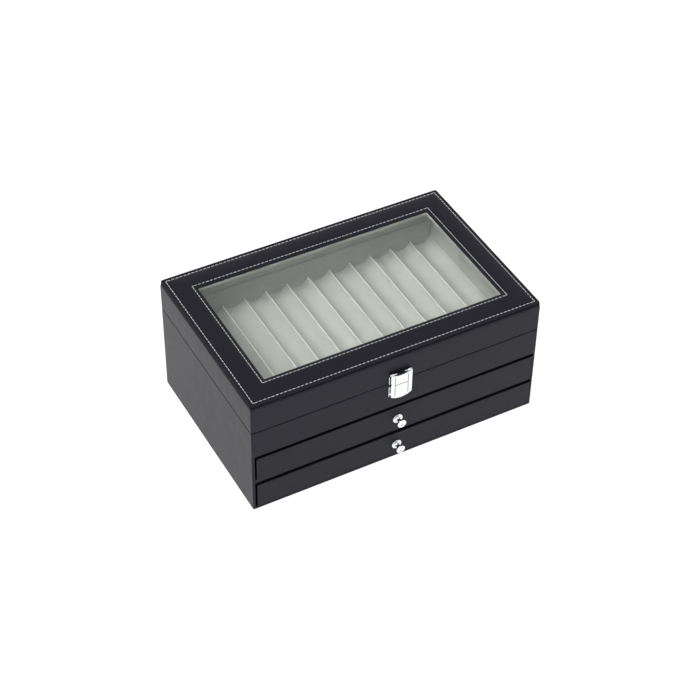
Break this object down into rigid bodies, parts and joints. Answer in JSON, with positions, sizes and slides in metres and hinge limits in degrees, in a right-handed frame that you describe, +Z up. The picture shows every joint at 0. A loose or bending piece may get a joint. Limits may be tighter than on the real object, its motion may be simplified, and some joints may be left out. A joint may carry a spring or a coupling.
{
  "type": "pen storage box",
  "caption": "Black leatherette pen box with a hinged, glazed lid over a fluted display tray, pull-out drawers below, a chrome clasp and knobs.",
  "frame": {"origin": "centre of the box's footprint, on the table", "axes": "+X along the width, -Y out of the front with the drawers and clasp, +Z up"},
  "size_m": [0.335, 0.2277, 0.148],
  "materials": {
    "black_leather": "fine-grained polyurethane leatherette, satin",
    "grey_suede": "flocked suede, matt",
    "board": "fibreboard faced with black lining paper",
    "window_glass": "clear, polished",
    "chrome": "polished chrome plating",
    "steel_screws": "zinc-plated steel",
    "base_felt": "pressed felt, matt"
  },
  "bodies": {
    "case": {"base_felt": "base_felt", "case_floor": "board", "case_side_right": "board", "case_side_left": "board", "case_back_board": "board", "case_front_rail": "board", "tray_deck": "board", "drawer_divider": "board", "case_leather": "black_leather", "case_liner_right": "grey_suede", "case_liner_left": "grey_suede", "case_liner_front": "grey_suede", "case_liner_back": "grey_suede", "pen_tray": "grey_suede", "hinge_case_leaf_left": "chrome", "hinge_case_leaf_right": "chrome", "hinge_pin_left": "chrome", "hinge_pin_right": "chrome", "hinge_case_screws": "steel_screws", "clasp_catch": "chrome", "clasp_catch_screws": "steel_screws"},
    "lid": {"lid_rail_right": "board", "lid_rail_left": "board", "lid_rail_front": "board", "lid_rail_back": "board", "lid_cover_board": "board", "window_glass": "window_glass", "glass_retainer": "grey_suede", "lid_liner_right": "grey_suede", "lid_liner_left": "grey_suede", "lid_liner_front": "grey_suede", "lid_liner_back": "grey_suede", "lid_band_leather": "black_leather", "lid_cover_leather": "black_leather", "hinge_lid_leaf_left": "chrome", "hinge_lid_leaf_right": "chrome", "hinge_lid_screws": "steel_screws", "clasp_plate": "chrome", "clasp_plate_screws": "steel_screws", "clasp_pin": "chrome"},
    "flap": {"clasp_flap": "chrome"},
    "upper_drawer": {"upper_drawer_front": "board", "upper_drawer_front_leather": "black_leather", "upper_drawer_side_right": "board", "upper_drawer_side_left": "board", "upper_drawer_back": "board", "upper_drawer_bottom": "board", "upper_drawer_tray": "grey_suede", "upper_drawer_knob": "chrome", "upper_drawer_knob_screw": "steel_screws"},
    "lower_drawer": {"lower_drawer_front": "board", "lower_drawer_front_leather": "black_leather", "lower_drawer_side_right": "board", "lower_drawer_side_left": "board", "lower_drawer_back": "board", "lower_drawer_bottom": "board", "lower_drawer_tray": "grey_suede", "lower_drawer_knob": "chrome", "lower_drawer_knob_screw": "steel_screws"}
  },
  "joints": [
    {"name": "lid_hinge", "type": "hinge", "parent": "case", "child": "lid", "pos_m": [0, 0.1093, 0.11], "axis": [-1, 0, 0], "range_deg": [0, 100]},
    {"name": "clasp_flap_hinge", "type": "hinge", "parent": "lid", "child": "flap", "pos_m": [0, -0.1096, 0.1234], "axis": [-1, 0, 0], "range_deg": [0, 110]},
    {"name": "lower_drawer_slide", "type": "slide", "parent": "case", "child": "lower_drawer", "axis": [0, -1, 0], "range_m": [0, 0.15]},
    {"name": "upper_drawer_slide", "type": "slide", "parent": "case", "child": "upper_drawer", "axis": [0, -1, 0], "range_m": [0, 0.15]}
  ]
}
